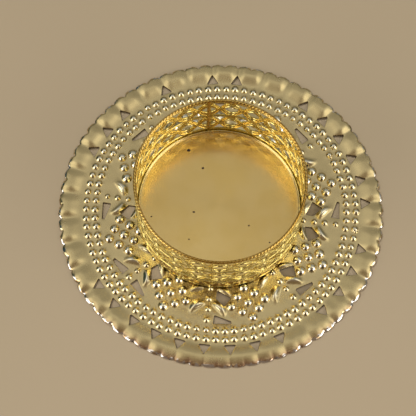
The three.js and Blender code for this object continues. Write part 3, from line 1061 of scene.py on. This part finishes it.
def gallery_wall(material):
    flat, triangles = gallery_net(gallery_holes()).triangles()
    along, up = flat[:, 0], flat[:, 1]
    outer, inner = gallery_relief(along, up)
    wander = WANDER * smooth(up / 2) * smooth((STRIP_HEIGHT - up) / 1.5)
    moved_along = along + wander * cloud(flat, 3.3, 3.0)
    moved_up = up + wander * cloud(flat, 3.7, 6.0) - foot_reach(along, up)
    front = wrap(moved_along, moved_up, outer)
    back = wrap(moved_along, moved_up, -inner)
    verts, faces = two_sided(front, back, triangles)
    # Relief gives painted shade between the strands and a lighter, partly painted highlight on their tops
    height = np.concatenate([outer, inner]) / (WALL_HALF + CROSSING_LIFT)
    marks = {"relief": height ** SHADE_AND_SHEEN_POWER}
    wall = new_piece("openwork_gallery", verts, faces, material, marks, sharp=60)
    dress(wall, "gallery_wall")


def rope_reach(angle, ring):
    """Distance from the middle of two rubbed strands out to their outline."""
    across = np.abs(np.cos(angle))
    spread = ROPE_SPREAD * (0.62 + 0.38 * np.sin(2 * ring + 2.4) * np.sin(3 * ring))
    far = ROPE_STRAND ** 2 - spread ** 2 * (1 - across ** 2)
    return spread * across + np.sqrt(far)


def rim_rope(material):
    """Two strands twisted round each other and closed to a ring."""
    ring = np.arange(ROPE_SECTIONS)[:, None] / ROPE_SECTIONS * TURN
    side = np.arange(ROPE_SIDES)[None, :] / ROPE_SIDES * TURN
    reach = rope_reach(side - ROPE_TURNS * ring, ring)
    radius = WALL_MIDDLE + RIM_FLARE + reach * np.cos(side)
    height = (ROPE_BASE + ROPE_TOP) / 2 + reach * np.sin(side)
    points = np.stack([radius * np.cos(ring), radius * np.sin(ring), height], -1)
    verts = cup_shape(points.reshape(-1, 3))
    faces = [(a, d, c, b) for a, b, c, d in tube_faces(ROPE_SECTIONS, ROPE_SIDES, closed=True)]
    # Low between the strands, which get painted shade, high on their tops, which get a lighter, partly
    # painted highlight
    depth = ((reach - reach.min()) / (reach.max() - reach.min())).ravel()
    rope = new_piece("rope_rim", verts, faces, material, {"relief": depth}, sharp=80)
    dress(rope, "rim_rope")


def seam(material):
    """Lumpy bar of solder between the two ends of the strip."""
    heights = np.linspace(SEAM_END, STRIP_HEIGHT - SEAM_END, SEAM_ROWS)
    swell, lump = (np.array([noise.noise(Vector((x, y, height / size))) for height in heights])
                   for x, y, size in SEAM_NOISE)
    width = SEAM_WIDTH / 2 + SEAM_EXTRA + SEAM_SWELL * np.maximum(0, swell)
    thickness = WALL_HALF + SEAM_EXTRA + SEAM_LUMP * lump
    turn = np.arange(SEAM_SIDES) / SEAM_SIDES * TURN
    across, lift = np.outer(width, np.sin(turn)), np.outer(thickness, np.cos(turn))
    verts = wrap(across.ravel(), np.repeat(heights, SEAM_SIDES), lift.ravel())
    faces = tube_faces(SEAM_ROWS, SEAM_SIDES)
    faces.append(tuple(range(SEAM_SIDES))[::-1])
    faces.append(tuple(range((SEAM_ROWS - 1) * SEAM_SIDES, SEAM_ROWS * SEAM_SIDES)))
    dress(new_piece("seam_solder", verts, faces, material), "gallery_seam")


def solder_dab(number, material):
    """An uneven dab of solder squeezed between plate and pan."""
    node = f"solder_pad_{number}"
    low, high = (np.array(corner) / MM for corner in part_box(node))
    middle = (low + high) / 2
    radius = (high[0] - low[0]) / 2 - DAB_BULGE
    shares = np.linspace(0, 1, 9)
    side = zip(radius + DAB_BULGE * np.sin(shares * math.pi), low[2] + shares * (high[2] - low[2]))
    profile = [(0, low[2]), (radius * DAB_FLAT, low[2]), *side, (radius * DAB_FLAT, high[2]), (0, high[2])]
    verts, faces = lathe(profile, DAB_STEPS)
    swell = 1 + DAB_SWELL * cloud(verts + middle, DAB_LUMP, number)
    verts[:, :2] = verts[:, :2] * swell[:, None] + middle[:2]
    dress(new_piece(f"solder_dab_{number}", verts, faces, material), node)


def camera_axes():
    """Right, up and back of the camera, and its place in millimetres."""
    right = np.array([*place(CAMERA_TURN, 1), 0])
    level = np.array([*place(CAMERA_TURN, 0, -1), 0])
    back = math.cos(ELEVATION) * level + math.sin(ELEVATION) * np.array([0, 0, 1])
    up = np.cross(back, right)
    cos, sin = math.cos(CAMERA_ROLL), math.sin(CAMERA_ROLL)
    return cos * right + sin * up, cos * up - sin * right, back, CAMERA_TARGET + CAMERA_DISTANCE * back


def pixel_at_height(x, y, height):
    """The point at a height that a pixel of the photograph shows."""
    right, up, back, eye = camera_axes()
    ray = (x - PICTURE / 2) / FOCAL * right - (y - PICTURE / 2) / FOCAL * up - back
    return eye + ray * (height - eye[2]) / ray[2]


def specks(material):
    verts, faces = [], []
    half_round = [(max(r, 0), h) for r, h in arc((0, 0), 1, -90, 90, 8)]
    grain, cells = lathe(half_round, 12)
    for number, (x, y, size) in enumerate(SPECKS):
        middle = pixel_at_height(x, y, PAN_FLOOR) + np.array([0, 0, size * SPECK_LIFT])
        rough = 1 + SPECK_ROUGH * cloud(grain, 0.8, number * 3.0)
        verts.append(grain * rough[:, None] * size * SPECK_FORM + middle)
        first = number * len(grain)
        faces += [tuple(first + corner for corner in cell) for cell in cells]
    piece = new_piece("pan_specks", np.vstack(verts), faces, material)
    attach(piece, "root")


# Materials

class Graph:
    """Short calls to add and link shader nodes."""

    def __init__(self, owner):
        owner.use_nodes = True
        self.tree = owner.node_tree
        self.tree.nodes.clear()

    def node(self, kind, inputs=None, **settings):
        """A new node, with each input linked to a socket or set to a value."""
        made = self.tree.nodes.new("ShaderNode" + kind)
        for name, value in settings.items():
            setattr(made, name, value)
        for name, value in (inputs or {}).items():
            if isinstance(value, bpy.types.NodeSocket):
                self.tree.links.new(value, made.inputs[name])
            else:
                made.inputs[name].default_value = value
        return made

    def coords(self, kind):
        return self.node("TexCoord").outputs[kind]

    def mark(self, name):
        """A value that the mesh carries at its points."""
        return self.node("Attribute", attribute_name=name).outputs["Fac"]

    def noise(self, coords, scale, detail):
        inputs = {"Vector": coords, "Scale": scale, "Detail": detail}
        return self.node("TexNoise", inputs).outputs["Fac"]

    def span(self, value, start, end, low=0.0, high=1.0):
        """Maps a value from one range to another, smoothly and clamped."""
        inputs = {"Value": value, "From Min": start, "From Max": end, "To Min": low, "To Max": high}
        return self.node("MapRange", inputs, interpolation_type="SMOOTHSTEP").outputs["Result"]

    def mix(self, share, first, second):
        """Mixes two colours, each a socket or three numbers."""
        colours = [(*tone, 1.0) if isinstance(tone, tuple) else tone for tone in (first, second)]
        inputs = {0: share, 6: colours[0], 7: colours[1]}
        return self.node("Mix", inputs, data_type="RGBA").outputs[2]

    def blend(self, share, first, second):
        """Mixes two numbers, each a socket or a number."""
        return self.node("Mix", {0: share, 2: first, 3: second}, data_type="FLOAT").outputs[0]

    def add(self, first, second, weight):
        """The first value times a weight, plus the second."""
        inputs = {0: first, 1: weight, 2: second}
        return self.node("Math", inputs, operation="MULTIPLY_ADD").outputs[0]

    def bump(self, height, strength, distance, **more):
        inputs = {"Height": height, "Strength": strength, "Distance": distance, **more}
        return self.node("Bump", inputs).outputs["Normal"]


def surface(graph, inputs):
    shader = graph.node("BsdfPrincipled", inputs)
    graph.node("OutputMaterial", {"Surface": shader.outputs["BSDF"]})


def gilt(name):
    """Gold-coloured plating in two tones, with painted shade in the low relief, a lighter high relief that
    is part rubbed and part painted highlight, the plate's edge marks with their painted shade and
    reflection, fine scratches and small folds.
    """
    finish = FINISHES[name]
    tones = {**WEAR_AND_SHADE_TONES, **finish}
    material = bpy.data.materials.new(name)
    graph = Graph(material)
    coords = graph.coords("Object")
    patches = graph.noise(coords, CLOUD_SCALE, 4.0)
    grain = graph.noise(coords, GRAIN_SCALE, 2.0)
    stretch = {"Vector": coords, "Scale": SCRATCH_SCALE, "Rotation": SCRATCH_TURN}
    scratch = graph.noise(graph.node("Mapping", stretch).outputs["Vector"], 1.0, 2.0)
    toned = graph.mix(graph.span(patches, 0.35, 0.7), tones["colour"], tones["shade"])
    rough = graph.span(graph.add(grain, patches, 0.5), 0.5, 1.0, *finish["satin"])
    for mark, start, end, low, high, tone in LAYERS:
        share = graph.span(graph.mark(mark), start, end, low, high)
        toned = graph.mix(share, toned, tones[tone])
        if tone in POLISHED_TONES:
            rough = graph.blend(share, rough, finish["polish"])
    fine = graph.bump(graph.add(scratch, grain, 0.6), finish["bump"], GRAIN_DEPTH)
    folds = graph.noise(coords, CRINKLE_SCALE, 1.0)
    normal = graph.bump(folds, finish.get("crinkle", 0.0), CRINKLE_DEPTH, Normal=fine)
    inputs = {"Base Color": toned, "Roughness": rough, "Metallic": 1.0, "Normal": normal}
    if "spun" in finish:
        round_about = graph.node("Tangent", direction_type="RADIAL", axis="Z")
        inputs |= {"Anisotropic": finish["spun"], "Tangent": round_about.outputs["Tangent"]}
    surface(graph, inputs)
    return material


def matt(name, colour, second, scale, roughness, metallic=0.0, bump=0.3):
    """A dull surface with a mottled colour."""
    material = bpy.data.materials.new(name)
    graph = Graph(material)
    patches = graph.noise(graph.coords("Object"), scale, 4.0)
    mottled = graph.mix(graph.span(patches, 0.3, 0.7), colour, second)
    rough = graph.span(patches, 0.3, 0.7, *roughness)
    normal = graph.bump(patches, bump, MATT_DEPTH)
    surface(graph, {"Base Color": mottled, "Roughness": rough, "Metallic": metallic, "Normal": normal})
    return material


# Stage, light and camera

def stage_floor(material):
    signs = ((-1, -1), (1, -1), (1, 1), (-1, 1))
    corners = [(FLOOR_HALF * x, FLOOR_HALF * y, -FLOOR_DROP) for x, y in signs]
    piece = new_piece("floor", corners, [(0, 1, 2, 3)], material)


def toward(azimuth, elevation):
    """Direction by an azimuth, from the camera's side to the right, and an elevation."""
    turn, lift = math.radians(azimuth), math.radians(elevation)
    return Vector((math.sin(turn) * math.cos(lift), -math.cos(turn) * math.cos(lift), math.sin(lift)))


def studio():
    """A pale room: light ceiling, dim walls, a brown shade in front, dark and pale patches."""
    world = bpy.data.worlds.new("studio")
    bpy.context.scene.world = world
    graph = Graph(world)
    direction = graph.coords("Generated")
    parts = graph.node("SeparateXYZ", {0: direction})
    sky = graph.mix(graph.span(parts.outputs["Z"], 0.3, 0.93), WALL_LIGHT, CEILING_LIGHT)
    for azimuth, elevation, inner, outer, colour in SKY_PATCHES:
        inputs = {0: direction, 1: toward(azimuth, elevation)}
        dot = graph.node("VectorMath", inputs, operation="DOT_PRODUCT").outputs["Value"]
        far, near = (math.cos(math.radians(angle)) for angle in (outer, inner))
        sky = graph.mix(graph.span(dot, far, near), sky, colour)
    background = graph.node("Background", {"Color": sky})
    graph.node("OutputWorld", {"Surface": background.outputs[0]})


def lamp_toward(light, direction):
    """Puts a light into the scene, shining from a direction at the object."""
    lamp = put(light.name, light)
    lamp.rotation_euler = direction.to_track_quat("Z", "Y").to_euler()
    return lamp


def window_light(name, azimuth):
    """A soft box beside the camera, aimed at the object."""
    light = bpy.data.lights.new(name, "AREA")
    light.shape = "RECTANGLE"
    light.size, light.size_y = WINDOW_SIZE
    light.energy = WINDOW_RADIANCE * math.pi * light.size * light.size_y
    away = toward(azimuth, WINDOW_ELEVATION)
    lamp = lamp_toward(light, away)
    lamp.location = away * WINDOW_DISTANCE
    lamp.visible_camera = False


def key_light():
    """A lamp behind the object's left, which gives the table its shadows and isn't mirrored."""
    light = bpy.data.lights.new("key", "SUN")
    light.energy = KEY_ENERGY
    light.angle = KEY_ANGLE
    lamp = lamp_toward(light, toward(*KEY_TOWARD))
    lamp.visible_glossy = False


def camera():
    right, up, back, eye = camera_axes()
    data = bpy.data.cameras.new("camera")
    data.sensor_width = SENSOR
    data.lens = FOCAL * SENSOR / PICTURE
    data.clip_start = 0.01
    viewer = put("camera", data)
    turn = Matrix([right, up, back]).transposed().to_4x4()
    viewer.matrix_world = Matrix.Translation(Vector(eye) * MM) @ turn
    bpy.context.scene.camera = viewer


def build():
    solder = matt("solder", (0.86, 0.64, 0.22), (0.7, 0.48, 0.14), 900, (0.2, 0.35), metallic=1.0)
    soot = matt("soot", (0.02, 0.012, 0.008), (0.05, 0.03, 0.015), 4000, (0.6, 0.9))
    table = matt("table", (0.41, 0.321, 0.204), (0.424, 0.33, 0.212), 8, (0.6, 0.7), bump=0.02)
    stage_floor(table)
    base_plate(gilt("plate_gilt"))
    cup_pan(gilt("pan_gilt"))
    gallery_wall(gilt("gallery_gilt"))
    rim_rope(gilt("rope_gilt"))
    seam(solder)
    for number in range(1, 5):
        solder_dab(number, solder)
    specks(soot)
    studio()
    window_light("window_left", -WINDOW_AZIMUTH)
    window_light("window_right", WINDOW_AZIMUTH)
    key_light()
    camera()


bpy.context.scene.view_settings.view_transform = "Standard"
build()
